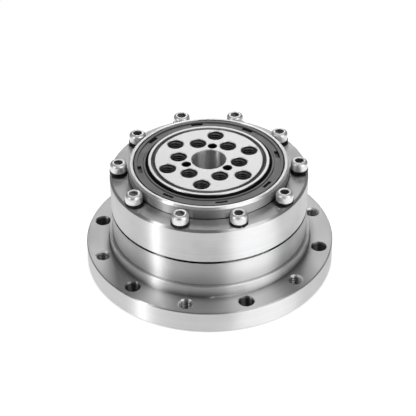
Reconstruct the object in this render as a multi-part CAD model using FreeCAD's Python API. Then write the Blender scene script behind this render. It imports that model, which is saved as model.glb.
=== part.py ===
"""Strain wave gearbox: flanged housing with a fixed circular spline, a flexible toothed cup bolted to the
output flange, an elliptical wave generator inside the cup and a crossed roller bearing at the output.

Millimetres. The axis of the gearbox is Z, the origin is the centre of the mounting face, and +Z points
out of the output face. Angles are counted from +X towards +Y. Radii build up outwards from the screws of
the output flange to the rim of the mounting flange, and inwards from the cup to the input hub; heights
build up from the mounting face.
"""
import math
import os

import FreeCAD, Part

# Shared fits
fit_gap = 0.02
edge_match = 0.000001
point_angle = 118.0

# Output flange, its holes and the screws and dowels of the cup
output_holes = 6
bolt_r = 2.5
hole_edge = 0.2
hole_step = 4.0
outer_phase = 20.4
outer_depth = 10.0
inner_phase = 50.4
output_wall = 0.75
face_rise = 0.65
face_edge = 0.1
foot_h = 3.7
centre_bore_r = 5.35
bore_edge = 0.15
bore_wall = 0.55
dowel_count = 3
dowel_r = 1.5
dowel_phase = 80.6
dowel_length = 11.5
flex_screw_length = 12.0
flex_head_r = 4.2
flex_head_h = 5.0
flex_head_gap = 1.1
flex_socket_af = 4.0
flex_socket_depth = 2.5
flex_screw_gap = 0.25

# Crossed roller bearing and its inner ring
roller_r = 1.5
roller_length = 2.9
roller_count = 32
roller_play = 0.02
spacer_play = 0.25
spacer_gap = 0.22
race_gap = 0.3
race_wall = 0.75
neck_wall = 2.45
land_step = 0.3
land_drop = 1.9
crown_drop = 0.05
crown_edge = 0.15
crown_band = 0.65
crown_groove_half = 0.55
crown_groove_depth = 0.35
joint_edge = 0.05
shelf_cover = 0.6
ring_screw_edge = 1.75
ring_screw_r = 1.0
ring_screw_length = 5.0
ring_screw_head_r = 1.9
ring_screw_head_h = 2.0
ring_screw_gap = 0.1
ring_socket_af = 1.5
ring_socket_depth = 1.0

# Output seal
seal_room = 0.7
seal_step = 0.9
seal_h = 4.4
seal_rubber_t = 0.4
seal_case_t = 0.4
seal_case_lap = 0.9
seal_cover_t = 1.2
seal_lead_h = 1.1
seal_rim_h = 0.65
seal_rim_step = 0.05
seal_rim_w = 0.85
seal_face_drop = 0.35
seal_ridge_drop = 0.1
seal_ridge_w = 0.55
seal_groove_w = 0.2
seal_groove_depth = 0.3
lip_play = 0.05
lip_t = 0.8
lip_slant = 0.45
lip_h = 1.45
lip_back = 0.3
lip_toe_h = 0.7
lip_toe_w = 0.5
spring_r = 0.4
spring_rise = 1.1
slot_count = 8
slot_phase = 9.9
slot_sweep = 10.0
slot_depth = 0.6
slot_w = 1.3

# Housing rings above the flange
collar_wall = 1.4
collar_lip = 0.05
collar_h = 3.85
collar_edge = 0.6
collar_mouth = 0.05
parting_drop = 2.85
parting_edge = 0.4
cup_clear = 0.4
spline_wall = 3.7
spigot_margin = 0.6
seat_edge = 0.7
oring_r = 0.45
oring_room = 0.15
oring_land = 2.1

# Housing screws and their lock washers
clamp_count = 10
clamp_r = 1.5
clamp_engage = 8.2
clamp_head_r = 2.65
clamp_head_h = 2.9
clamp_socket_af = 2.5
clamp_socket_depth = 1.3
clamp_gap = 0.1
clamp_tip_room = 0.3
washer_r = 2.85
washer_t = 0.8
washer_slit = 0.4

# Mounting flange
flange_t = 7.3
flange_edge = 0.3
flange_rim = 1.5
flange_bolts = 6
plain_hole_r = 2.5
plain_phase = -12.1
tapped_hole_r = 2.0
tapped_phase = 17.9
countersink = 0.4
wrench_room = 0.4
shoulder_h = 4.0
shoulder_step = 1.05
shoulder_edge = 0.2
shoulder_fillet = 0.6
pilot_step = 0.5
pilot_depth = 2.5

# Tooth pair of the strain wave gear and the flexible cup
flex_teeth = 100
tooth_difference = 2
addendum = 0.30
dedendum = 0.38
flank_angle = 25.0
flank_gap = 0.05
tooth_play = 0.08
tooth_back = 0.5
tooth_width = 9.2
cup_setback = 0.9
cup_wall = 0.5
cup_floor_t = 0.7
cup_boss_h = 2.2
boss_margin = 0.5
clamp_plate_t = 1.3
head_room = 0.9

# Wave generator and its flexible ball bearing
ball_r = 1.6
ball_count = 21
groove_play = 0.05
groove_depth = 0.35
bearing_width = 6.6
race_fit = 0.04
outer_race_t = 1.33
inner_race_t = 1.35
cage_play = 0.35
cage_inset = 0.6
cage_rise = 2.1
pocket_play = 0.15
plug_width = 7.5
plug_wall = 5.5
plug_slot_w = 5.0
plug_slot_depth = 2.4
insert_t = 2.3
insert_inset = 0.5
oldham_play = 0.1
hub_setback = 0.1
hub_gap = 0.2
hub_play = 0.1
hub_end = 0.15
hub_flange_lap = 1.6
hub_flange_t = 1.8
hub_dog_w = 3.8
hub_dog_h = 1.6
shaft_bore_r = 4.0
shaft_bore_edge = 0.3
keyway_w = 3.0
key_depth = 1.4
rub_washer_t = 0.5
rub_washer_gap = 0.05
snap_depth = 0.5
snap_width = 1.9
snap_t = 0.6
snap_gap = 0.05
snap_opening = 3.0

AXIS = FreeCAD.Vector(0, 0, 1)
ORIGIN = FreeCAD.Vector(0, 0, 0)
HEX = 6

# Radii from the output screws outwards to the rim of the flange
inner_circle_r = (flex_head_r + flex_head_gap / 2) / math.sin(math.pi / output_holes)
outer_circle_r = inner_circle_r + hole_step
output_r = outer_circle_r + bolt_r + output_wall
dowel_circle_r = centre_bore_r + bore_wall + dowel_r
cup_boss_r = inner_circle_r + flex_head_r + boss_margin
ring_screw_circle_r = output_r + ring_screw_edge
race_reach = math.sqrt(2) * (roller_r + roller_play)
inner_apex_r = ring_screw_circle_r + ring_screw_r + race_wall
roller_circle_r = inner_apex_r + race_reach
outer_apex_r = roller_circle_r + race_reach
inner_race_edge_r = roller_circle_r - race_gap
outer_race_edge_r = roller_circle_r + race_gap
land_r = output_r + neck_wall
crown_r = land_r - land_step
crown_groove_r = output_r + crown_band
spacer_t = 2 * math.pi * roller_circle_r / roller_count - 2 * (roller_r + spacer_play)
spacer_side = 2 * (roller_r + roller_play - spacer_gap)
seal_bore_r = outer_race_edge_r + seal_step
seal_case_r = seal_bore_r - seal_rubber_t
seal_rim_r = seal_case_r - seal_rim_step
slot_outer_r = seal_rim_r - seal_rim_w
slot_inner_r = slot_outer_r - slot_w
seal_lip_r = land_r + lip_play
seal_ridge_r = seal_lip_r + lip_slant
case_in_r = seal_ridge_r + seal_case_lap
spring_circle_r = seal_lip_r + lip_t + spring_r
collar_r = seal_bore_r + collar_wall
cup_space_r = outer_race_edge_r - cup_clear
spigot_r = cup_space_r + spline_wall
pilot_r = spigot_r + pilot_step
oring_circle_r = cup_space_r + oring_land + oring_r + oring_room
clamp_circle_r = spigot_r + spigot_margin + clamp_r
body_r = clamp_circle_r + washer_r
shoulder_r = body_r + shoulder_step
flange_bolt_r = shoulder_r + shoulder_fillet + wrench_room + plain_hole_r
flange_r = flange_bolt_r + plain_hole_r + flange_rim

# Tooth pair, then radii inwards from the cup to the input hub
ring_teeth = flex_teeth + tooth_difference
ring_pitch_r = cup_space_r - tooth_back - dedendum
module = 2 * ring_pitch_r / ring_teeth
flex_pitch_r = module * flex_teeth / 2
tooth_half = math.pi * module / 4 - flank_gap
lift = ring_pitch_r - flex_pitch_r
stretch = lift / flex_pitch_r
cup_out_r = flex_pitch_r - dedendum
cup_in_r = cup_out_r - cup_wall
outer_race_r = cup_in_r - race_fit
outer_race_in_r = outer_race_r - outer_race_t
ball_circle_r = outer_race_in_r + groove_depth - ball_r
inner_race_r = ball_circle_r - ball_r + groove_depth
cam_r = inner_race_r - inner_race_t
cage_out_r = outer_race_in_r - cage_play
cage_in_r = inner_race_r + cage_play
plug_bore_r = cam_r - plug_wall
plug_slot_r = plug_bore_r + plug_slot_depth
insert_in_r = plug_bore_r - oldham_play - insert_t
hub_r = insert_in_r - hub_gap
hub_flange_r = plug_bore_r + hub_flange_lap
hub_dog_r = hub_r + hub_dog_h
snap_groove_r = hub_r - snap_depth
snap_r = snap_groove_r + snap_width

# Heights from the mounting face upwards
shoulder_top = flange_t + shoulder_h
hub_low = pilot_depth + hub_setback
plug_low = hub_low + hub_flange_t + hub_play
plug_high = plug_low + plug_width
rub_low = plug_high + rub_washer_gap
groove_low = rub_low + rub_washer_t
groove_high = groove_low + snap_t + 2 * snap_gap
hub_high = groove_high + hub_end
insert_low = plug_low + insert_inset
insert_high = plug_high - insert_inset
ball_z = (plug_low + plug_high) / 2
bearing_low = ball_z - bearing_width / 2
bearing_high = ball_z + bearing_width / 2
cage_low = bearing_low + cage_inset
cage_high = ball_z + cage_rise
tooth_low = pilot_depth + cup_setback
tooth_high = tooth_low + tooth_width
plate_z = hub_high + head_room + flex_head_h
cup_floor_z = plate_z + clamp_plate_t
output_base_z = cup_floor_z + cup_boss_h
parting_z = output_base_z - parting_drop
bearing_z = output_base_z + foot_h
ring_screw_seat = output_base_z + ring_screw_head_h + ring_screw_gap
inner_shelf = ring_screw_seat + ring_screw_length + shelf_cover
seal_floor = inner_shelf + seal_room
spring_z = seal_floor + spring_rise
seal_top = seal_floor + seal_h
seal_case_top = seal_top - seal_cover_t
collar_top = seal_top + collar_lip
seat_z = collar_top - collar_h
clamp_seat = seat_z + washer_t
clamp_length = clamp_seat - shoulder_top + clamp_engage
face_z = collar_top + face_rise
inner_top = face_z - crown_drop
land_top = inner_top - land_drop


def save(shape, name):
    shape.exportStep("parts/" + name + ".step")


def revolve(points):
    """Solid of revolution about Z from a closed outline of (radius, height) points."""
    wire = Part.makePolygon([FreeCAD.Vector(r, 0, z) for r, z in points + points[:1]])
    return Part.Face(wire).revolve(ORIGIN, AXIS, 360)


def cylinder(radius, low, high, place=(0, 0)):
    return Part.makeCylinder(radius, high - low, FreeCAD.Vector(place[0], place[1], low))


def tube(inner, outer, low, high):
    return cylinder(outer, low, high).cut(cylinder(inner, low, high))


def cone(low_r, high_r, low, high, place=(0, 0)):
    return Part.makeCone(low_r, high_r, high - low, FreeCAD.Vector(place[0], place[1], low))


def block(length, width, low, high, place=(0, 0)):
    """Box centred on place, seen from above."""
    corner = FreeCAD.Vector(place[0] - length / 2, place[1] - width / 2, low)
    return Part.makeBox(length, width, high - low, corner)


def circle_of(count, radius, phase=0.0):
    """Evenly spaced places on a circle."""
    angles = [math.radians(phase + 360.0 * k / count) for k in range(count)]
    return [(radius * math.cos(a), radius * math.sin(a)) for a in angles]


def drilled(shape, places, radius, low, high):
    return shape.cut([cylinder(radius, low, high, p) for p in places])


def blind_drilled(shape, places, radius, low, high):
    """Holes from above, with the cone that the drill's point leaves under their depth."""
    point = radius / math.tan(math.radians(point_angle / 2))
    shape = drilled(shape, places, radius, low, high)
    return shape.cut([cone(0, radius, low - point, low, p) for p in places])


def edged(shape, places, radius, edge, top):
    """Bevelled mouths of holes in an upper face."""
    return shape.cut([cone(radius, radius + edge, top - edge, top, p) for p in places])


def hexagon(across_flats, low, high, place):
    """Hexagonal prism for a socket."""
    corners = circle_of(HEX, across_flats / 2 / math.cos(math.pi / HEX))
    points = [FreeCAD.Vector(place[0] + x, place[1] + y, low) for x, y in corners]
    wire = Part.makePolygon(points + points[:1])
    return Part.Face(wire).extrude(FreeCAD.Vector(0, 0, high - low))


def stretched(shape):
    """The oval form that a round flexible piece takes around the wave generator."""
    matrix = FreeCAD.Matrix()
    matrix.A11 = 1 + stretch
    matrix.A22 = 1 - stretch
    return shape.transformGeometry(matrix)


def prism(wires, low, high):
    """Flat face with holes, raised from low to high."""
    face = Part.Face(wires, "Part::FaceMakerBullseye")
    face.translate(FreeCAD.Vector(0, 0, low))
    return face.extrude(FreeCAD.Vector(0, 0, high - low))


def circle_wire(radius):
    return Part.Wire(Part.makeCircle(radius))


def tooth_wire(places):
    """Closed outline through the corners of all teeth."""
    points = [FreeCAD.Vector(x, y, 0) for x, y in places]
    return Part.makePolygon(points + points[:1])


def ring_tooth_corners():
    """Spaces between the internal teeth, wide at the tips and narrow at the roots."""
    slope = math.tan(math.radians(flank_angle))
    space = tooth_half + tooth_play
    levels = [(-addendum, -1), (dedendum, -1), (dedendum, 1), (-addendum, 1)]
    corners = []
    for k in range(ring_teeth):
        middle = 2 * math.pi * k / ring_teeth
        for height, side in levels:
            radius = ring_pitch_r + height
            turn = middle + side * (space - slope * height) / radius
            corners.append((radius * math.cos(turn), radius * math.sin(turn)))
    return corners


def flex_tooth_corners():
    """External teeth on the oval rim: each moves out or in, slides along and tips with the bent wall."""
    slope = math.tan(math.radians(flank_angle))
    levels = [(-dedendum, -1), (addendum, -1), (addendum, 1), (-dedendum, 1)]
    corners = []
    for k in range(flex_teeth):
        angle = 2 * math.pi * k / flex_teeth
        bend = math.sin(2 * angle) * stretch
        radius = flex_pitch_r + lift * math.cos(2 * angle)
        place = angle - bend / 2
        normal = angle + 1.5 * bend
        for height, side in levels:
            half = side * (tooth_half - slope * height)
            x = radius * math.cos(place) + height * math.cos(normal) - half * math.sin(normal)
            y = radius * math.sin(place) + height * math.sin(normal) + half * math.cos(normal)
            corners.append((x, y))
    return corners


def cap_screws(places, radius, length, head_r, head_h, socket_af, socket_depth, seat, up):
    """Socket head screws; up is +1 with the head above its seat and -1 with the head below it."""
    screws = []
    for place in places:
        head_end = seat + up * head_h
        tip = seat - up * length
        head = cylinder(head_r, min(seat, head_end), max(seat, head_end), place)
        shank = cylinder(radius - fit_gap, min(seat, tip), max(seat, tip), place)
        floor = head_end - up * socket_depth
        socket = hexagon(socket_af, min(head_end, floor), max(head_end, floor), place)
        screws.append(head.fuse(shank).removeSplitter().cut(socket))
    return Part.makeCompound(screws)


def mounting_flange():
    """Plate with the twelve mounting holes and the low shoulder that carries the housing rings."""
    outline = [
        (pilot_r, 0),
        (flange_r - flange_edge, 0),
        (flange_r, flange_edge),
        (flange_r, flange_t - flange_edge),
        (flange_r - flange_edge, flange_t),
        (shoulder_r, flange_t),
        (shoulder_r, shoulder_top - shoulder_edge),
        (shoulder_r - shoulder_edge, shoulder_top),
        (spigot_r + fit_gap, shoulder_top),
        (spigot_r + fit_gap, pilot_depth),
        (pilot_r, pilot_depth),
    ]
    body = revolve(outline)
    foot = [
        e for e in body.Edges
        if abs(e.BoundBox.ZMin - flange_t) + abs(e.BoundBox.ZMax - flange_t) < edge_match
        and abs(e.BoundBox.XMax - shoulder_r) < edge_match
    ]
    body = body.makeFillet(shoulder_fillet, foot)
    body = drilled(body, circle_of(flange_bolts, flange_bolt_r, plain_phase), plain_hole_r, 0, flange_t)
    tapped = circle_of(flange_bolts, flange_bolt_r, tapped_phase)
    body = drilled(body, tapped, tapped_hole_r, 0, flange_t)
    body = edged(body, tapped, tapped_hole_r, countersink, flange_t)
    body = body.cut([cone(tapped_hole_r + countersink, tapped_hole_r, 0, countersink, p) for p in tapped])
    clamps = circle_of(clamp_count, clamp_circle_r)
    return blind_drilled(body, clamps, clamp_r, clamp_seat - clamp_length - clamp_tip_room, shoulder_top)


def circular_spline():
    """Fixed ring with the internal teeth, located in the flange by its spigot."""
    outline = [
        (cup_space_r, pilot_depth),
        (spigot_r, pilot_depth),
        (spigot_r, shoulder_top),
        (body_r, shoulder_top),
        (body_r, parting_z - parting_edge),
        (body_r - parting_edge, parting_z),
        (cup_space_r, parting_z),
    ]
    teeth = prism([circle_wire(cup_space_r), tooth_wire(ring_tooth_corners())], pilot_depth, tooth_high)
    body = revolve(outline).fuse(teeth).removeSplitter()
    groove_half = oring_r + oring_room
    floor = parting_z - 2 * oring_r
    groove = tube(oring_circle_r - groove_half, oring_circle_r + groove_half, floor, parting_z)
    places = circle_of(clamp_count, clamp_circle_r)
    return drilled(body.cut(groove), places, clamp_r + clamp_gap, shoulder_top, parting_z)


def bearing_outer_ring():
    """Upper housing ring: outer raceway of the crossed rollers, screw seat and the collar of the seal."""
    race_half = outer_apex_r - outer_race_edge_r
    outline = [
        (outer_race_edge_r, parting_z),
        (body_r - parting_edge, parting_z),
        (body_r, parting_z + parting_edge),
        (body_r, seat_z - seat_edge),
        (body_r - seat_edge, seat_z),
        (collar_r, seat_z),
        (collar_r, collar_top - collar_edge),
        (collar_r - collar_edge, collar_top),
        (seal_bore_r + collar_mouth, collar_top),
        (seal_bore_r, collar_top - collar_mouth),
        (seal_bore_r, seal_floor),
        (outer_race_edge_r, seal_floor),
        (outer_race_edge_r, bearing_z + race_half),
        (outer_apex_r, bearing_z),
        (outer_race_edge_r, bearing_z - race_half),
    ]
    places = circle_of(clamp_count, clamp_circle_r)
    return drilled(revolve(outline), places, clamp_r + clamp_gap, parting_z, seat_z)


def lock_washers():
    washers = []
    for place in circle_of(clamp_count, clamp_circle_r):
        ring = cylinder(washer_r, seat_z, clamp_seat, place)
        ring = ring.cut(cylinder(clamp_r + clamp_gap, seat_z, clamp_seat, place))
        slit = block(washer_r, washer_slit, seat_z, clamp_seat, (place[0] + washer_r / 2, place[1]))
        turn = math.degrees(math.atan2(place[1], place[0]))
        slit.rotate(FreeCAD.Vector(place[0], place[1], 0), AXIS, turn)
        washers.append(ring.cut(slit))
    return Part.makeCompound(washers)


def oil_seal():
    """Rubber seal in the collar: outer sleeve, cover with arc slots, dust lip and spring loaded main lip."""
    face = seal_top - seal_face_drop
    ridge = seal_top - seal_ridge_drop
    ridge_out_r = seal_ridge_r + seal_ridge_w
    groove_out_r = ridge_out_r + seal_groove_w
    spring_in_r = spring_circle_r - spring_r
    outline = [
        (seal_case_r, seal_floor),
        (seal_bore_r, seal_floor),
        (seal_bore_r, seal_top - seal_lead_h),
        (seal_rim_r, seal_top - seal_rim_h),
        (seal_rim_r, seal_top),
        (slot_outer_r, seal_top),
        (slot_outer_r, face),
        (groove_out_r, face),
        (groove_out_r, face - seal_groove_depth),
        (ridge_out_r, face - seal_groove_depth),
        (ridge_out_r, ridge),
        (seal_ridge_r, ridge),
        (seal_lip_r, ridge - lip_h),
        (seal_lip_r + lip_back, spring_z + lip_h),
        (seal_lip_r, spring_z),
        (seal_lip_r + lip_toe_w, spring_z - lip_toe_h),
        (spring_circle_r, spring_z - lip_toe_h),
        (spring_circle_r, spring_z - spring_r),
        (spring_in_r, spring_z - spring_r),
        (spring_in_r, spring_z + spring_r),
        (case_in_r, seal_case_top - seal_case_t),
        (case_in_r, seal_case_top),
        (seal_case_r, seal_case_top),
    ]
    floor = face - slot_depth
    slots = []
    for k in range(slot_count):
        arc = Part.makeCylinder(slot_outer_r, slot_depth, FreeCAD.Vector(0, 0, floor), AXIS, slot_sweep)
        arc = arc.cut(cylinder(slot_inner_r, floor, seal_top))
        arc.rotate(ORIGIN, AXIS, slot_phase + 360.0 * k / slot_count - slot_sweep / 2)
        slots.append(arc)
    return revolve(outline).cut(slots)


def seal_case():
    """Steel stiffening ring of the seal, an angle in section."""
    outline = [
        (case_in_r, seal_case_top - seal_case_t),
        (seal_case_r - seal_case_t, seal_case_top - seal_case_t),
        (seal_case_r - seal_case_t, seal_floor),
        (seal_case_r, seal_floor),
        (seal_case_r, seal_case_top),
        (case_in_r, seal_case_top),
    ]
    return revolve(outline)


def output_flange():
    """Output boss with its tapped holes; its foot carries the lower half of the inner raceway."""
    race_half = inner_race_edge_r - inner_apex_r
    outline = [
        (centre_bore_r, output_base_z),
        (inner_race_edge_r, output_base_z),
        (inner_race_edge_r, bearing_z - race_half),
        (inner_apex_r, bearing_z),
        (output_r, bearing_z),
        (output_r, face_z - face_edge),
        (output_r - face_edge, face_z),
        (centre_bore_r + bore_edge, face_z),
        (centre_bore_r, face_z - bore_edge),
    ]
    body = revolve(outline)
    outer = circle_of(output_holes, outer_circle_r, outer_phase)
    inner = circle_of(output_holes, inner_circle_r, inner_phase)
    dowels = circle_of(dowel_count, dowel_circle_r, dowel_phase)
    screws = circle_of(output_holes, ring_screw_circle_r, inner_phase)
    body = blind_drilled(body, outer, bolt_r, face_z - outer_depth, face_z)
    body = drilled(body, inner, bolt_r, output_base_z, face_z)
    body = edged(body, outer + inner, bolt_r, hole_edge, face_z)
    body = drilled(body, dowels, dowel_r, output_base_z, face_z)
    body = drilled(body, screws, ring_screw_r + ring_screw_gap, output_base_z, bearing_z)
    return drilled(body, screws, ring_screw_head_r + ring_screw_gap, output_base_z, ring_screw_seat)


def bearing_inner_ring():
    """Upper half of the inner raceway; its neck is the running land of the seal, its crown has a groove."""
    race_half = inner_race_edge_r - inner_apex_r
    bore_r = output_r + fit_gap
    outline = [
        (bore_r, bearing_z),
        (inner_apex_r, bearing_z),
        (inner_race_edge_r, bearing_z + race_half),
        (inner_race_edge_r, inner_shelf),
        (land_r, inner_shelf),
        (land_r, land_top),
        (crown_r, land_top + land_step),
        (crown_r, inner_top - crown_edge),
        (crown_r - crown_edge, inner_top),
        (crown_groove_r + crown_groove_half, inner_top),
        (crown_groove_r, inner_top - crown_groove_depth),
        (crown_groove_r - crown_groove_half, inner_top),
        (bore_r + joint_edge, inner_top),
        (bore_r, inner_top - joint_edge),
    ]
    screws = circle_of(output_holes, ring_screw_circle_r, inner_phase)
    return drilled(revolve(outline), screws, ring_screw_r, bearing_z, ring_screw_seat + ring_screw_length)


def crossed_rollers():
    """Short rollers whose axes lean outwards and inwards in turn."""
    rollers = []
    for k in range(roller_count):
        lean = 45 if k % 2 else -45
        roller = Part.makeCylinder(roller_r, roller_length, FreeCAD.Vector(0, 0, -roller_length / 2))
        roller.rotate(ORIGIN, FreeCAD.Vector(0, 1, 0), lean)
        roller.translate(FreeCAD.Vector(roller_circle_r, 0, bearing_z))
        roller.rotate(ORIGIN, AXIS, 360.0 * k / roller_count)
        rollers.append(roller)
    return Part.makeCompound(rollers)


def roller_spacers():
    """Square blocks that keep neighbouring rollers apart."""
    spacers = []
    for k in range(roller_count):
        spacer = block(spacer_side, spacer_t, -spacer_side / 2, spacer_side / 2)
        spacer.rotate(ORIGIN, FreeCAD.Vector(0, 1, 0), 45)
        spacer.translate(FreeCAD.Vector(roller_circle_r, 0, bearing_z))
        spacer.rotate(ORIGIN, AXIS, 360.0 * (k + 0.5) / roller_count)
        spacers.append(spacer)
    return Part.makeCompound(spacers)


def flexspline():
    """Thin toothed cup: oval at its open end, round at the floor that is bolted to the output flange."""
    oval_out = stretched(circle_wire(cup_out_r))
    oval_in = stretched(circle_wire(cup_in_r))
    body = prism([tooth_wire(flex_tooth_corners()), oval_in], tooth_low, tooth_high)
    skins = []
    for oval, radius in [(oval_out, cup_out_r), (oval_in, cup_in_r)]:
        low = oval.copy()
        low.translate(FreeCAD.Vector(0, 0, tooth_high))
        high = circle_wire(radius)
        high.translate(FreeCAD.Vector(0, 0, cup_floor_z))
        skins.append(Part.makeLoft([low, high], True, True))
    floor = cylinder(cup_out_r, cup_floor_z, cup_floor_z + cup_floor_t)
    boss = cylinder(cup_boss_r, cup_floor_z, output_base_z)
    body = body.fuse([skins[0].cut(skins[1]), floor, boss]).removeSplitter()
    body = body.cut(cylinder(centre_bore_r, cup_floor_z, output_base_z))
    return with_boss_holes(body, cup_floor_z, output_base_z)


def with_boss_holes(shape, low, high):
    """Screw and dowel holes through the pieces clamped under the output flange."""
    screws = circle_of(output_holes, inner_circle_r, inner_phase)
    dowels = circle_of(dowel_count, dowel_circle_r, dowel_phase)
    return drilled(drilled(shape, screws, bolt_r + flex_screw_gap, low, high), dowels, dowel_r, low, high)


def flexspline_clamp_plate():
    return with_boss_holes(tube(centre_bore_r, cup_boss_r, plate_z, cup_floor_z), plate_z, cup_floor_z)


def dowel_pins():
    places = circle_of(dowel_count, dowel_circle_r, dowel_phase)
    return Part.makeCompound([cylinder(dowel_r, plate_z, plate_z + dowel_length, p) for p in places])


def flex_races():
    """Outer and inner rings of the flexible ball bearing, both bent oval."""
    groove = Part.makeTorus(ball_circle_r, ball_r + groove_play, FreeCAD.Vector(0, 0, ball_z))
    outer = tube(outer_race_in_r, outer_race_r, bearing_low, bearing_high).cut(groove)
    inner = tube(cam_r, inner_race_r, bearing_low, bearing_high).cut(groove)
    return stretched(outer), stretched(inner)


def ball_places():
    return [(x * (1 + stretch), y * (1 - stretch)) for x, y in circle_of(ball_count, ball_circle_r)]


def flex_balls():
    balls = [Part.makeSphere(ball_r, FreeCAD.Vector(x, y, ball_z)) for x, y in ball_places()]
    return Part.makeCompound(balls)


def ball_separator():
    """Oval comb whose fingers stand between the balls."""
    ring = prism([stretched(circle_wire(cage_out_r)), stretched(circle_wire(cage_in_r))], cage_low, cage_high)
    pocket = ball_r + pocket_play
    return drilled(ring, ball_places(), pocket, ball_z - pocket, cage_high)


def wave_generator_plug():
    """Oval cam with a round bore and two slots along the long axis for the coupling insert."""
    cam = prism([stretched(circle_wire(cam_r))], plug_low, plug_high)
    slots = block(2 * plug_slot_r, plug_slot_w, plug_low, plug_high)
    return cam.cut([cylinder(plug_bore_r, plug_low, plug_high), slots])


def oldham_insert():
    """Sliding ring between cam and hub: dogs along X, notches along Y."""
    dogs = block(2 * (plug_slot_r - oldham_play), plug_slot_w - 2 * oldham_play, insert_low, insert_high)
    ring = cylinder(plug_bore_r - oldham_play, insert_low, insert_high).fuse(dogs).removeSplitter()
    notch_r = hub_dog_r + oldham_play
    notches = block(hub_dog_w + 2 * oldham_play, 2 * notch_r, insert_low, insert_high)
    return ring.cut([cylinder(insert_in_r, insert_low, insert_high), notches])


def wave_generator_hub():
    """Input hub with shaft bore and keyway; its dogs turn the coupling insert."""
    flange_top = hub_low + hub_flange_t
    body = cylinder(hub_r, hub_low, hub_high)
    dogs = block(hub_dog_w, 2 * hub_dog_r, flange_top, insert_high)
    body = body.fuse([cylinder(hub_flange_r, hub_low, flange_top), dogs]).removeSplitter()
    groove = tube(snap_groove_r, hub_r, groove_low, groove_high)
    bore = cylinder(shaft_bore_r, hub_low, hub_high)
    key_reach = shaft_bore_r + key_depth
    key = block(keyway_w, key_reach, hub_low, hub_high, (0, key_reach / 2))
    mouth = cone(shaft_bore_r + shaft_bore_edge, shaft_bore_r, hub_low, hub_low + shaft_bore_edge)
    return body.cut([groove, bore, key, mouth])


def rub_washer():
    return tube(insert_in_r, hub_flange_r, rub_low, rub_low + rub_washer_t)


def snap_ring():
    """Open retaining ring in the hub groove."""
    low = groove_low + snap_gap
    ring = tube(snap_groove_r, snap_r, low, low + snap_t)
    return ring.cut(block(snap_r, snap_opening, low, low + snap_t, (snap_r / 2 + hub_r / 2, 0)))


os.makedirs("parts", exist_ok=True)

save(mounting_flange(), "mounting_flange")
save(circular_spline(), "circular_spline")
save(bearing_outer_ring(), "bearing_outer_ring")
save(Part.makeTorus(oring_circle_r, oring_r, FreeCAD.Vector(0, 0, parting_z - oring_r)), "housing_o_ring")
save(lock_washers(), "lock_washers")
save(
    cap_screws(
        circle_of(clamp_count, clamp_circle_r), clamp_r, clamp_length, clamp_head_r, clamp_head_h,
        clamp_socket_af, clamp_socket_depth, clamp_seat, 1,
    ),
    "clamp_screws",
)
save(oil_seal(), "oil_seal")
save(seal_case(), "seal_case")
save(Part.makeTorus(spring_circle_r, spring_r, FreeCAD.Vector(0, 0, spring_z)), "garter_spring")
save(output_flange(), "output_flange")
save(bearing_inner_ring(), "bearing_inner_ring")
save(
    cap_screws(
        circle_of(output_holes, ring_screw_circle_r, inner_phase), ring_screw_r, ring_screw_length,
        ring_screw_head_r, ring_screw_head_h, ring_socket_af, ring_socket_depth, ring_screw_seat, -1,
    ),
    "inner_ring_screws",
)
save(crossed_rollers(), "crossed_rollers")
save(roller_spacers(), "roller_spacers")
save(flexspline(), "flexspline")
save(flexspline_clamp_plate(), "flexspline_clamp_plate")
save(
    cap_screws(
        circle_of(output_holes, inner_circle_r, inner_phase), bolt_r, flex_screw_length,
        flex_head_r, flex_head_h, flex_socket_af, flex_socket_depth, plate_z, -1,
    ),
    "flexspline_screws",
)
save(dowel_pins(), "dowel_pins")
outer_race, inner_race = flex_races()
save(outer_race, "flex_bearing_outer_race")
save(inner_race, "flex_bearing_inner_race")
save(flex_balls(), "flex_bearing_balls")
save(ball_separator(), "ball_separator")
save(wave_generator_plug(), "wave_generator_plug")
save(oldham_insert(), "oldham_insert")
save(wave_generator_hub(), "wave_generator_hub")
save(rub_washer(), "rub_washer")
save(snap_ring(), "snap_ring")
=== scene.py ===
import math

import bmesh
import bpy
from mathutils import Matrix, Vector


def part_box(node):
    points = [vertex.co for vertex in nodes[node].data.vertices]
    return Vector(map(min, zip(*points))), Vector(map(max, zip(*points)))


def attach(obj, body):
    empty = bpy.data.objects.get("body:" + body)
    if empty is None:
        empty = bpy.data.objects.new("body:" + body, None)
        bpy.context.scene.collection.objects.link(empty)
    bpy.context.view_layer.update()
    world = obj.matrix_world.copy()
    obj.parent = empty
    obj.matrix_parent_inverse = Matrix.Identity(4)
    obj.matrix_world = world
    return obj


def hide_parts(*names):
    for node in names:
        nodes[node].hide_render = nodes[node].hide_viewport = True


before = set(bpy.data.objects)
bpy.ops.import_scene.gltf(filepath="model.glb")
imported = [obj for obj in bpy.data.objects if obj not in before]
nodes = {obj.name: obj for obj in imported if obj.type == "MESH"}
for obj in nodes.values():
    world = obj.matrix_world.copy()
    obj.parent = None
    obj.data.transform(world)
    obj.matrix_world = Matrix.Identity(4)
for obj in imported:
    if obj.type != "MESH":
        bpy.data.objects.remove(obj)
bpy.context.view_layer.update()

MM = 0.001
scene = bpy.context.scene

# Places on the gearbox that the finishes follow, in millimetres
flange_r = 39.5
flange_top_z = 7.3
flange_holes_inner_r = 32.8
flange_holes_outer_r = 38.2
shoulder_r = 32.0
shoulder_top_z = 11.3
body_r = 30.95
parting_z = 19.95
seat_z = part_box("lock_washers")[0].z / MM
collar_r = 25.0
seal_face_z = 35.25
seal_lip_r = 19.72
crown_edge_r = 18.85
crown_groove_r = 17.4
crown_groove_half = 0.6
output_r = 16.75
output_face_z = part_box("output_flange")[1].z / MM
bore_r = 5.35

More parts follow.
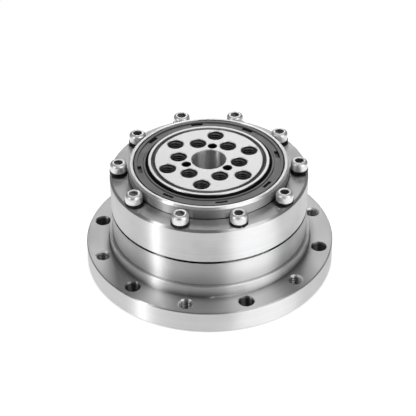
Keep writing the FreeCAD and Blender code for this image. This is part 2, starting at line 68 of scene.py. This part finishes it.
# Clamp screws, in millimetres, with their turns in degrees
screw_count = 10
screw_circle_r = 28.1
screw_first_turn = 17.0
screw_turn_step = 47.0
screw_seat_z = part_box("lock_washers")[1].z / MM
screw_top_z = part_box("clamp_screws")[1].z / MM
screw_tip_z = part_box("clamp_screws")[0].z / MM
shank_r = 1.48
tip_bevel = 0.4
head_r = 2.65
head_round = 1.0
head_round_steps = 6
foot_bevel = 0.1
socket_flats = 2.5
socket_depth = 1.3
socket_bevel = 0.12
screw_steps = 48
sharp_angle = 35.0

# Tapped holes, in millimetres, with the phase of their circles in degrees
m5_thread = {"major": 2.505, "minor": 2.08, "pitch": 0.8}
m4_thread = {"major": 2.005, "minor": 1.64, "pitch": 0.7}
outer_output_holes = {"count": 6, "radius": 13.5, "phase": 20.4}
inner_output_holes = {"count": 6, "radius": 9.5, "phase": 50.4}
flange_holes = {"count": 6, "radius": 35.5, "phase": 17.9}
outer_thread_low = 26.6
inner_thread_low = 31.4
output_thread_high = 36.1
flange_thread_low = 0.35
flange_thread_high = 6.95
thread_steps = 28

# Half widths of a thread's ridge and the start of its middle, as shares of the pitch
ridge_foot = 0.44
ridge_crest = 0.07
ridge_start = 0.45


# Node helpers

def grey(level, tint=0.0):
    """Opaque grey with a share of blue added."""
    return (level, level, level * (1 + tint), 1.0)


class Nodes:
    """A node tree with short calls for the nodes used here."""

    def __init__(self, tree):
        self.tree = tree

    def feed(self, socket, value):
        """Link an input to an output, or set its constant."""
        if isinstance(value, bpy.types.NodeSocket):
            self.tree.links.new(value, socket)
        else:
            socket.default_value = value

    def add(self, kind, *values, operation=None, **named):
        """New node, its inputs given in order or by name."""
        node = self.tree.nodes.new(kind)
        if operation:
            node.operation = operation
        for index, value in enumerate(values):
            self.feed(node.inputs[index], value)
        for key, value in named.items():
            self.feed(node.inputs[key.replace("_", " ")], value)
        return node

    def math(self, operation, *values):
        return self.add("ShaderNodeMath", *values, operation=operation).outputs[0]

    def measure(self, operation, *vectors):
        """Number from vectors: a length, a distance or a dot product."""
        return self.add("ShaderNodeVectorMath", *vectors, operation=operation).outputs["Value"]

    def both(self, first, second):
        """Mask where two masks overlap."""
        return self.math("MULTIPLY", first, second)

    def span(self, value, low, high, to_low=0.0, to_high=1.0):
        """Smooth step from one level to another between two values."""
        node = self.add("ShaderNodeMapRange", value, low, high, to_low, to_high)
        node.interpolation_type = "SMOOTHSTEP"
        return node.outputs[0]

    def above(self, value, low, high):
        """Mask that rises from 0 to 1 between two lengths in millimetres."""
        return self.span(value, low * MM, high * MM)

    def below(self, value, low, high):
        """Mask that falls from 1 to 0 between two lengths in millimetres."""
        return self.span(value, low * MM, high * MM, 1.0, 0.0)

    def rays(self):
        """Camera rays, and the camera, glossy and transmission rays together."""
        path = self.add("ShaderNodeLightPath").outputs
        mirrored = self.math("MAXIMUM", path["Is Glossy Ray"], path["Is Transmission Ray"])
        return path["Is Camera Ray"], self.math("MAXIMUM", path["Is Camera Ray"], mirrored)


class Shader(Nodes):
    """A material on the gearbox's axis: its radius and height, its tone and its marks."""

    def __init__(self, name):
        self.material = bpy.data.materials.new(name)
        self.material.use_nodes = True
        super().__init__(self.material.node_tree)
        self.bsdf = self.tree.nodes["Principled BSDF"]
        self.place = self.add("ShaderNodeTexCoord").outputs["Object"]
        self.z = self.add("ShaderNodeSeparateXYZ", self.place).outputs["Z"]
        flat = self.add("ShaderNodeVectorMath", self.place, (1, 1, 0), operation="MULTIPLY")
        self.r = self.measure("LENGTH", flat.outputs[0])

    def mix(self, factor, first, second):
        node = self.add("ShaderNodeMix")
        node.data_type = "RGBA"
        self.feed(node.inputs["Factor"], factor)
        self.feed(node.inputs[6], first)
        self.feed(node.inputs[7], second)
        return node.outputs[2]

    def paint(self, mask, level, tint=0.0):
        """Blend the tone so far into a grey under a mask."""
        self.tone = self.mix(mask, self.tone, grey(level, tint))

    def noise(self, vector, scale, detail, roughness):
        node = self.add(
            "ShaderNodeTexNoise", Vector=vector, Scale=scale, Detail=detail, Roughness=roughness
        )
        return node.outputs["Fac"]

    def profile(self):
        """Radius and height as a vector: the same all round the axis."""
        return self.add("ShaderNodeCombineXYZ", self.r, self.z).outputs[0]

    def rings(self, scale):
        """Noise by radius and height only: the lines that a lathe tool leaves."""
        return self.noise(self.profile(), scale, detail=2.0, roughness=0.6)

    def near(self, value, centre, width):
        """Mask that is 1 at the centre and falls to 0 at a distance from it."""
        away = self.math("ABSOLUTE", self.math("SUBTRACT", value, centre))
        return self.span(away, 0.0, width, 1.0, 0.0)

    def true_normal(self):
        return self.add("ShaderNodeNewGeometry").outputs["True Normal"]

    def rounded(self, radius):
        """Normal that rounds sharp edges over, and a mask of those edges."""
        bevel = self.add("ShaderNodeBevel", Radius=radius * MM)
        bevel.samples = 4
        same = self.measure("DOT_PRODUCT", bevel.outputs[0], self.true_normal())
        return bevel.outputs[0], self.span(same, 0.8, 0.98, 1.0, 0.0)

    def bump(self, height, strength, distance, normal=None):
        node = self.add("ShaderNodeBump", Height=height, Strength=strength, Distance=distance * MM)
        if normal:
            self.feed(node.inputs["Normal"], normal)
        self.set(Normal=node.outputs[0])

    def lay(self, anisotropic):
        """Stretch the reflections across turning marks about the Z axis."""
        tangent = self.add("ShaderNodeTangent")
        tangent.direction_type = "RADIAL"
        tangent.axis = "Z"
        self.set(
            Anisotropic=anisotropic, Anisotropic_Rotation=0.25, Tangent=tangent.outputs[0]
        )

    def set(self, **values):
        for key, value in values.items():
            self.feed(self.bsdf.inputs[key.replace("_", " ")], value)


# Materials

class TurnedSteel(Shader):
    """Steel off the lathe: fine rings, smudges, rounded edges lightened by wear and painted
    highlight, and even tops up to the seat, in painted shade where top is below 1.
    """

    def __init__(self, name, level, rough, top=1.0):
        super().__init__(name)
        self.level = level
        self.rough = rough
        fine = self.rings(scale=7000.0)
        coarse = self.rings(scale=1500.0)
        cloud = self.noise(self.place, scale=70.0, detail=4.0, roughness=0.6)
        self.normal, edge = self.rounded(radius=0.12)
        self.up = self.add("ShaderNodeSeparateXYZ", self.true_normal()).outputs["Z"]
        ringed = self.span(coarse, 0.35, 0.65)
        smudged = self.span(cloud, 0.4, 0.75, 0.0, 0.3)
        # Rounded edges painted lighter: partly wear, partly a painted highlight.
        worn_edge_and_highlight = self.math("MULTIPLY", edge, 0.5)
        # Tops up to the seat get one even tone, a painted shade where top is below 1.
        shaded_low_top = self.both(
            self.span(self.up, 0.9, 0.98), self.below(self.z, seat_z + 0.5, seat_z + 1)
        )
        self.tone = self.mix(ringed, grey(level * 0.98, 0.01), grey(level * 1.02, 0.01))
        self.paint(smudged, level * 0.88)
        self.paint(worn_edge_and_highlight, min(1.0, level * 1.2))
        self.paint(shaded_low_top, level * top)
        self.lines = self.math(
            "ADD", self.span(fine, 0.2, 0.8, -0.5, 0.5), self.span(coarse, 0.2, 0.8, -0.15, 0.15)
        )
        lined = self.math("MULTIPLY_ADD", self.lines, 0.04, rough)
        self.wear = self.math("MULTIPLY_ADD", self.span(cloud, 0.45, 0.75), 0.05, lined)

    def flatness(self):
        """0 on walls, 1 on tops and undersides, between them on bevels."""
        return self.math("ABSOLUTE", self.up)

    def polish(self, mask, rough):
        """Another roughness under a mask."""
        self.wear = self.math("MULTIPLY_ADD", mask, rough - self.rough, self.wear)

    def fade(self, low, high, share):
        """Painted shade towards a lower height, down to a share of the steel's tone."""
        self.paint(self.below(self.z, low, high), self.level * share)

    def seam(self, height, width, dark):
        """Dark line where two rings meet."""
        self.paint(self.near(self.z, height * MM, width * MM), dark)

    def corner_shade(self, radius, height, width, dark):
        """Painted shade in the corner at a radius and height."""
        corner = (radius * MM, height * MM, 0.0)
        away = self.measure("DISTANCE", self.profile(), corner)
        self.paint(self.below(away, 0.0, width), dark)

    def holes(self, inner, outer, dark):
        """Painted shade on the walls of the holes between two radii of the flange."""
        blend = 0.2
        between = self.both(
            self.above(self.r, inner - blend, inner), self.below(self.r, outer, outer + blend)
        )
        depth = self.both(
            self.below(self.z, flange_top_z - 1.2, flange_top_z - 0.3), self.above(self.z, 0.1, 0.3)
        )
        self.paint(self.both(between, depth), dark)

    def bevels(self, radius, rough, share=0.08, rim_z=None, rim_share=None):
        """Painted shade on bevels outside a radius, lighter painted shade on those above the height
        of the rim.
        """
        blend = 0.5
        sloped = self.both(
            self.near(self.flatness(), centre=0.7, width=0.35),
            self.above(self.r, radius - blend, radius + blend),
        )
        # Painted shade on the sloped faces.
        self.paint(sloped, self.level * share)
        if rim_z is not None:
            rim = self.both(sloped, self.above(self.z, rim_z - blend, rim_z + blend))
            self.paint(rim, self.level * rim_share)
        self.polish(sloped, rough)

    def collar(self, radius, foot, share, rough):
        """Rougher upright wall within a radius and above a foot, in painted shade."""
        upright = self.span(self.flatness(), 0.1, 0.4, 1.0, 0.0)
        upright = self.both(upright, self.below(self.r, radius + 0.3, radius + 0.6))
        upright = self.both(upright, self.above(self.z, foot + 0.2, foot + 0.4))
        self.paint(upright, self.level * share)
        self.polish(upright, rough)

    def done(self, anisotropic):
        """The material with its tone, wear and lay wired in."""
        self.bump(self.lines, strength=0.3, distance=0.006, normal=self.normal)
        self.set(Base_Color=self.tone, Metallic=1.0, Roughness=self.wear)
        self.lay(anisotropic)
        return self.material


def flange_steel():
    """Flange with painted shade on its top, at the shoulder foot, in the holes and on the bevels,
    less on the rim bevel.
    """
    s = TurnedSteel("flange_turned", level=0.8, rough=0.42, top=0.85)
    s.corner_shade(shoulder_r, flange_top_z, width=3.0, dark=0.5)
    s.corner_shade(shoulder_r, flange_top_z, width=0.9, dark=0.25)
    s.holes(flange_holes_inner_r, flange_holes_outer_r, dark=0.2)
    s.bevels(flange_r - 1.0, rough=0.36, rim_z=flange_top_z - 1.5, rim_share=0.6)
    return s.done(anisotropic=0.97)


def spline_steel():
    """Lower ring with painted shade towards its foot, in the shoulder corner and on its bevels, and
    a dark parting line.
    """
    s = TurnedSteel("spline_turned", level=0.9, rough=0.5)
    s.fade(shoulder_top_z, parting_z - 2.0, share=0.75)
    s.seam(parting_z, width=0.32, dark=0.03)
    s.corner_shade(body_r, shoulder_top_z, width=0.2, dark=0.3)
    s.bevels(collar_r + 1.5, rough=0.15)
    return s.done(anisotropic=1.0)


def housing_steel():
    """Upper ring with painted shade on the screw seat, at the collar foot and on the bevels, less
    on the rim bevel, and a rougher collar wall in painted shade.
    """
    s = TurnedSteel("housing_turned", level=0.88, rough=0.4, top=0.6)
    s.seam(parting_z, width=0.32, dark=0.03)
    s.corner_shade(collar_r, seat_z, width=0.45, dark=0.04)
    s.bevels(collar_r + 1.5, rough=0.36, rim_z=seat_z - 1.5, rim_share=0.65)
    s.collar(collar_r, seat_z, share=0.65, rough=0.55)
    return s.done(anisotropic=0.97)


def plain_steel(name, level, rough, grain=4000.0, tint=0.0, spot=0.2):
    """Ground, drawn or polished steel without a lay."""
    s = Shader(name)
    cloud = s.noise(s.place, scale=160.0, detail=4.0, roughness=0.6)
    fine = s.noise(s.place, scale=grain, detail=2.0, roughness=0.7)
    s.tone = grey(level, tint)
    s.paint(s.span(cloud, 0.3, 0.7, 0.0, spot), level * 0.8, tint)
    wear = s.span(fine, 0.2, 0.8, rough * 0.85, rough * 1.15)
    s.bump(fine, strength=0.15, distance=0.008)
    s.set(Base_Color=s.tone, Metallic=1.0, Roughness=wear)
    return s.material


def output_steel():
    """Matt ground face with a turned centre bore, threaded holes in painted shade, and edges
    lightened by wear and painted highlight.
    """
    s = Shader("output_ground")
    fine = s.noise(s.place, scale=6000.0, detail=2.0, roughness=0.7)
    cloud = s.noise(s.place, scale=120.0, detail=3.0, roughness=0.5)
    normal, edge = s.rounded(radius=0.1)
    under_face = s.below(s.z, output_face_z - 0.35, output_face_z - 0.15)
    in_hole = s.both(under_face, s.above(s.r, bore_r + 0.05, bore_r + 0.25))
    in_bore = s.math("SUBTRACT", under_face, in_hole)
    s.tone = grey(0.8)
    s.paint(s.span(cloud, 0.35, 0.7, 0.0, 0.25), 0.75)
    # Rounded edges painted lighter: partly wear, partly a painted highlight.
    s.paint(s.math("MULTIPLY", edge, 0.4), 0.9)
    s.paint(in_bore, 0.85)
    # Painted shade in the threaded holes.
    s.paint(in_hole, 0.06)
    wear = s.math("MULTIPLY_ADD", in_bore, -0.16, s.span(fine, 0.2, 0.8, 0.46, 0.56))
    grain = s.math("MULTIPLY_ADD", s.both(in_bore, s.rings(scale=5000.0)), 4.0, fine)
    s.bump(grain, strength=0.25, distance=0.01, normal=normal)
    s.set(Base_Color=s.tone, Metallic=1.0, Roughness=wear)
    s.lay(s.math("MULTIPLY", in_bore, 0.97))
    return s.material


def crown_steel():
    """Polished ring: dark joint beside the output face, painted shade in the groove and on the neck
    in the seal.
    """
    s = Shader("crown_polished")
    cloud = s.noise(s.place, scale=90.0, detail=4.0, roughness=0.6)
    normal, edge = s.rounded(radius=0.1)
    s.tone = grey(0.36)
    s.paint(s.span(cloud, 0.35, 0.7, 0.0, 0.3), 0.3)
    # Painted shade in the groove.
    s.paint(s.near(s.r, crown_groove_r * MM, crown_groove_half * MM), 0.15)
    s.paint(s.near(s.r, output_r * MM, 0.4 * MM), 0.02)
    # Painted shade on the neck inside the seal.
    s.paint(s.above(s.r, crown_edge_r, crown_edge_r + 0.15), 0.15)
    s.bump(s.rings(scale=6000.0), strength=0.3, distance=0.006, normal=normal)
    s.set(Base_Color=s.tone, Metallic=1.0, Roughness=s.math("MULTIPLY_ADD", edge, -0.08, 0.26))
    s.lay(anisotropic=0.2)
    return s.material


def rubber(name, level, rough):
    """Moulded rubber with a fine skin and a little dust; painted shade at the lip and below the
    face.
    """
    s = Shader(name)
    fine = s.noise(s.place, scale=2500.0, detail=3.0, roughness=0.6)
    dust = s.noise(s.place, scale=220.0, detail=5.0, roughness=0.65)
    s.tone = grey(level)
    s.paint(s.span(dust, 0.45, 0.75, 0.0, 0.5), level * 1.9)
    # Painted shade at the lip gap and on the faces below the seal face.
    s.paint(s.below(s.r, seal_lip_r - 0.05, seal_lip_r + 0.05), level * 0.1)
    s.paint(s.below(s.z, seal_face_z - 0.4, seal_face_z - 0.1), level * 0.1)
    s.bump(fine, strength=0.25, distance=0.02)
    s.set(Base_Color=s.tone, Roughness=s.span(dust, 0.3, 0.7, rough, rough + 0.15))
    return s.material


def plastic(name, colour):
    """Moulded plastic with a faint cloud."""
    s = Shader(name)
    cloud = s.noise(s.place, scale=300.0, detail=3.0, roughness=0.6)
    darker = tuple(0.85 * c for c in colour[:3]) + (1.0,)
    s.bump(cloud, strength=0.1, distance=0.02)
    s.set(
        Base_Color=s.mix(s.span(cloud, 0.35, 0.7), colour, darker),
        Roughness=s.span(cloud, 0.3, 0.7, 0.4, 0.55),
    )
    return s.material


screw_mat = plain_steel("screw_stainless", level=0.85, rough=0.42, grain=1500.0)
# Darker copy of the screw steel: painted shade in the hexagon sockets.
socket_shade_mat = plain_steel("screw_socket_painted_shade", level=0.3, rough=0.3)
# Dark copies of cut steel: painted shade in the tapped holes, deeper holes darker.
thread_shade_mat = plain_steel("thread_cut", level=0.35, rough=0.2)
deep_thread_shade_mat = plain_steel("thread_cut_deep", level=0.18, rough=0.25)
black_mat = plain_steel("black_oxide_and_painted_shade", level=0.02, rough=0.38, grain=3000.0, tint=0.05, spot=0.5)
bearing_mat = plain_steel("bearing_polished", level=0.72, rough=0.15)
sheet_mat = plain_steel("pressed_sheet", level=0.45, rough=0.35)
flex_mat = TurnedSteel("flex_machined", level=0.55, rough=0.35).done(anisotropic=0.5)
cam_mat = TurnedSteel("cam_machined", level=0.58, rough=0.36).done(anisotropic=0.5)
rubber_mat = rubber("seal_rubber_black", level=0.075, rough=0.3)
plastic_mat = plastic("cage_polyamide", colour=(0.72, 0.66, 0.52, 1.0))

finishes = {
    "mounting_flange": flange_steel(),
    "circular_spline": spline_steel(),
    "bearing_outer_ring": housing_steel(),
    "output_flange": output_steel(),
    "bearing_inner_ring": crown_steel(),
    "crossed_rollers": bearing_mat,
    "flex_bearing_outer_race": bearing_mat,
    "flex_bearing_inner_race": bearing_mat,
    "flex_bearing_balls": bearing_mat,
    # Dowel pins take the black finish as painted shade, so their holes read dark.
    "dowel_pins": black_mat,
    "flexspline": flex_mat,
    "flexspline_clamp_plate": flex_mat,
    "clamp_screws": screw_mat,
    "lock_washers": black_mat,
    "inner_ring_screws": black_mat,
    "flexspline_screws": black_mat,
    "snap_ring": black_mat,
    "oil_seal": rubber_mat,
    "housing_o_ring": rubber_mat,
    "seal_case": sheet_mat,
    "garter_spring": sheet_mat,
    "wave_generator_plug": cam_mat,
    "wave_generator_hub": cam_mat,
    "rub_washer": cam_mat,
    "ball_separator": plastic_mat,
    "roller_spacers": plastic_mat,
    "oldham_insert": plastic_mat,
}
for name, material in finishes.items():
    mesh = nodes[name].data
    for index in range(len(mesh.materials)):
        mesh.materials[index] = material


# Pieces

def finished(bm, name, materials, body, smooth=True):
    """Turn a finished mesh into a piece that rides on a body."""
    mesh = bpy.data.meshes.new(name)
    bmesh.ops.recalc_face_normals(bm, faces=bm.faces)
    bm.to_mesh(mesh)
    bm.free()
    for polygon in mesh.polygons:
        polygon.use_smooth = smooth
    for material in materials:
        mesh.materials.append(material)
    piece = bpy.data.objects.new(name, mesh)
    scene.collection.objects.link(piece)
    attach(piece, body)
    return piece


def circle_of(count, radius, phase):
    """Points evenly spaced on a circle about the axis."""
    angles = [math.radians(phase + 360.0 * k / count) for k in range(count)]
    return [(radius * math.cos(a), radius * math.sin(a)) for a in angles]


def add_vert(bm, place, angle, radius, z):
    """Point at an angle and radius about a place, in millimetres."""
    x = place[0] + radius * math.cos(angle)
    y = place[1] + radius * math.sin(angle)
    return bm.verts.new((x * MM, y * MM, z * MM))


def join_rings(bm, rings):
    """Faces between neighbouring rings of equally many points."""
    faces = []
    for first, second in zip(rings, rings[1:]):
        count = len(first)
        for k in range(count):
            n = (k + 1) % count
            faces.append(bm.faces.new((first[k], first[n], second[n], second[k])))
    return faces


def add_thread(bm, place, low, high, major, minor, pitch):
    """Right-hand internal thread: a closed ridge that winds up the wall of a hole."""
    turns = (high - low) / pitch - 2 * ridge_start
    section = (
        (major, -ridge_foot), (minor, -ridge_crest), (minor, ridge_crest), (major, ridge_foot)
    )
    rings = []
    for k in range(int(turns * thread_steps) + 1):
        angle = 2 * math.pi * k / thread_steps
        z = low + pitch * (ridge_start + k / thread_steps)
        rings.append([
            add_vert(bm, place, angle, radius, z + rise * pitch) for radius, rise in section
        ])
    join_rings(bm, rings)
    bm.faces.new(rings[0])
    bm.faces.new(rings[-1])


def hex_radius(angle, flats):
    """Radius of a hexagon of a width across flats, at an angle."""
    return flats / 2 / math.cos((angle + math.pi / 6) % (math.pi / 3) - math.pi / 6)


def add_cap_screw(bm, place, turn):
    """Socket head screw: rounded head, hexagon socket in painted shade, plain shank with a bevelled
    tip.
    """
    profile = [
        (shank_r - tip_bevel, screw_tip_z),
        (shank_r, screw_tip_z + tip_bevel),
        (shank_r, screw_seat_z),
        (head_r - foot_bevel, screw_seat_z),
        (head_r, screw_seat_z + foot_bevel),
    ]
    for k in range(head_round_steps + 1):
        a = math.pi / 2 * k / head_round_steps
        inset = head_round * (1 - math.cos(a))
        drop = head_round * (1 - math.sin(a))
        profile.append((head_r - inset, screw_top_z - drop))
    profile.append((socket_flats / math.sqrt(3) + socket_bevel / 2, screw_top_z))
    angles = [2 * math.pi * k / screw_steps for k in range(screw_steps)]

    def ring(radii, z):
        return [add_vert(bm, place, a + turn, radius, z) for a, radius in zip(angles, radii)]

    outside = [ring([radius] * screw_steps, z) for radius, z in profile]
    flats = [hex_radius(a, socket_flats) for a in angles]
    socket = [ring(flats, screw_top_z - depth) for depth in (socket_bevel, socket_depth)]
    join_rings(bm, outside + socket[:1])
    bm.faces.new(outside[0])
    inside = join_rings(bm, socket)
    inside.append(bm.faces.new(socket[-1]))
    for face in inside:
        face.material_index = 1


bm = bmesh.new()
for k, place in enumerate(circle_of(screw_count, screw_circle_r, 0.0)):
    add_cap_screw(bm, place, math.radians(screw_first_turn + screw_turn_step * k))
screws = finished(bm, "cap_screws_detailed", [screw_mat, socket_shade_mat], "housing")
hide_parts("clamp_screws")
edges = screws.modifiers.new("edges", "EDGE_SPLIT")
edges.split_angle = math.radians(sharp_angle)

bm = bmesh.new()
for place in circle_of(**outer_output_holes):
    add_thread(bm, place, outer_thread_low, output_thread_high, **m5_thread)
for place in circle_of(**inner_output_holes):
    add_thread(bm, place, inner_thread_low, output_thread_high, **m5_thread)
finished(bm, "output_threads", [deep_thread_shade_mat], "output", smooth=False)

bm = bmesh.new()
for place in circle_of(**flange_holes):
    add_thread(bm, place, flange_thread_low, flange_thread_high, **m4_thread)
finished(bm, "flange_threads", [thread_shade_mat], "housing", smooth=False)


# Studio: what mirrors see of the room, the light that fills it, and the floor, in metres

camera_place = Vector((0, -0.3435526, 0.2719451))
room_level = 0.18
back_level = 0.2
dark_level = 0.05
fill_level = 0.5
glow_level = 0.86
glow_near = 0.06
glow_far = 0.3
far_glow = 0.1
paper_level = 0.8
shadow_level = 0.16
floor_half = 4.0

world = bpy.data.worlds.new("studio")
scene.world = world
world.use_nodes = True
sky = Nodes(world.node_tree)
from_camera, seen = sky.rays()
direction = sky.add("ShaderNodeTexCoord").outputs["Generated"]
xyz = sky.add("ShaderNodeSeparateXYZ", direction).outputs
raised = sky.both(sky.span(xyz["Z"], 0.15, 0.4), sky.span(xyz["Z"], 0.75, 0.95, 1.0, 0.0))
behind = sky.both(sky.span(xyz["Y"], 0.0, 0.6, 0.0, back_level), raised)
facing = sky.measure("DOT_PRODUCT", direction, camera_place.normalized())
room = sky.span(facing, 0.8, 0.95, room_level, dark_level)
shown = sky.math("MAXIMUM", sky.math("MAXIMUM", behind, room), from_camera)
fill = sky.math("MULTIPLY", sky.math("SUBTRACT", 1.0, seen), fill_level)
background = sky.tree.nodes["Background"]
sky.feed(background.inputs["Strength"], sky.math("MULTIPLY_ADD", shown, seen, fill))
sky.feed(background.inputs["Color"], grey(1.0))

corners = [(x * floor_half, y * floor_half, 0) for x, y in ((-1, -1), (1, -1), (1, 1), (-1, 1))]
floor_mesh = bpy.data.meshes.new("floor")
floor_mesh.from_pydata(corners, [], [(0, 1, 2, 3)])
floor = bpy.data.objects.new("floor", floor_mesh)
scene.collection.objects.link(floor)
floor_mat = bpy.data.materials.new("floor_white")
floor_mat.use_nodes = True
floor_mesh.materials.append(floor_mat)
ground = Nodes(floor_mat.node_tree)
ground.tree.nodes.remove(ground.tree.nodes["Principled BSDF"])
from_camera, seen = ground.rays()
away = ground.measure("LENGTH", ground.add("ShaderNodeTexCoord").outputs["Object"])
# Painted pool of light: in reflections the floor glows brightest near the object and fades with
# distance.
lit = ground.span(away, glow_near, glow_far, 1.0, far_glow)
lit = ground.math("MAXIMUM", lit, ground.math("MULTIPLY", from_camera, glow_level))
# Painted shadow: the floor gives no glow under the object's footprint.
outside_painted_shadow = ground.above(away, flange_r - 2.0, flange_r + 1.0)
glow = ground.add("ShaderNodeEmission", Strength=ground.math("MULTIPLY", lit, outside_painted_shadow))
paper = ground.add("ShaderNodeBsdfDiffuse", Color=grey(paper_level))
soft = ground.add("ShaderNodeBsdfDiffuse", Color=grey(shadow_level))
bright = ground.add("ShaderNodeAddShader", soft.outputs[0], glow.outputs[0])
pick = ground.add("ShaderNodeMixShader", seen, paper.outputs[0], bright.outputs[0])
ground.feed(ground.tree.nodes["Material Output"].inputs["Surface"], pick.outputs[0])

# Lamps: azimuth and elevation in degrees, width and height in metres, radiance
lamps = {
    "strip_left": (212, 14, 0.12, 0.42, 8.0),
    "strip_left_high": (207, 42, 0.12, 0.42, 7.0),
    "box_right": (318, 5, 1.0, 0.2, 3.6),
    "box_right_high": (318, 46, 0.75, 0.4, 3.0),
    "back": (88, 34, 0.3, 0.6, 2.4),
    "above": (90, 86, 0.7, 0.5, 0.65),
}
lamp_distance = 1.0
lamp_target = Vector((0, 0, 0.02))


def softbox(name, azimuth, elevation, width, height, radiance):
    """Rectangular lamp that faces the object; a radiance of 1 shows as white in a mirror."""
    data = bpy.data.lights.new(name, "AREA")
    data.shape = "RECTANGLE"
    data.size = width
    data.size_y = height
    data.energy = radiance * math.pi * width * height
    lamp = bpy.data.objects.new(name, data)
    a, e = math.radians(azimuth), math.radians(elevation)
    towards = Vector((math.cos(a) * math.cos(e), math.sin(a) * math.cos(e), math.sin(e)))
    lamp.location = lamp_target + towards * lamp_distance
    lamp.rotation_euler = (-towards).to_track_quat("-Z", "Y").to_euler()
    scene.collection.objects.link(lamp)


for name, sizes in lamps.items():
    softbox(name, *sizes)


# Camera

camera_data = bpy.data.cameras.new("camera")
camera_data.sensor_fit = "HORIZONTAL"
camera_data.sensor_width = 36.0
camera_data.lens = 116.29
camera_data.clip_start = 0.01
camera = bpy.data.objects.new("camera", camera_data)
right = Vector((0.99993699, -0.00588865, -0.00955733))
up = Vector((0.01118495, 0.59519030, 0.80350694))
back = Vector((0.00095685, -0.80356321, 0.59521866))
turned = Matrix((right, up, back)).transposed().to_4x4()
camera.matrix_world = Matrix.Translation(camera_place) @ turned
scene.collection.objects.link(camera)
scene.camera = camera
scene.view_settings.view_transform = "Standard"
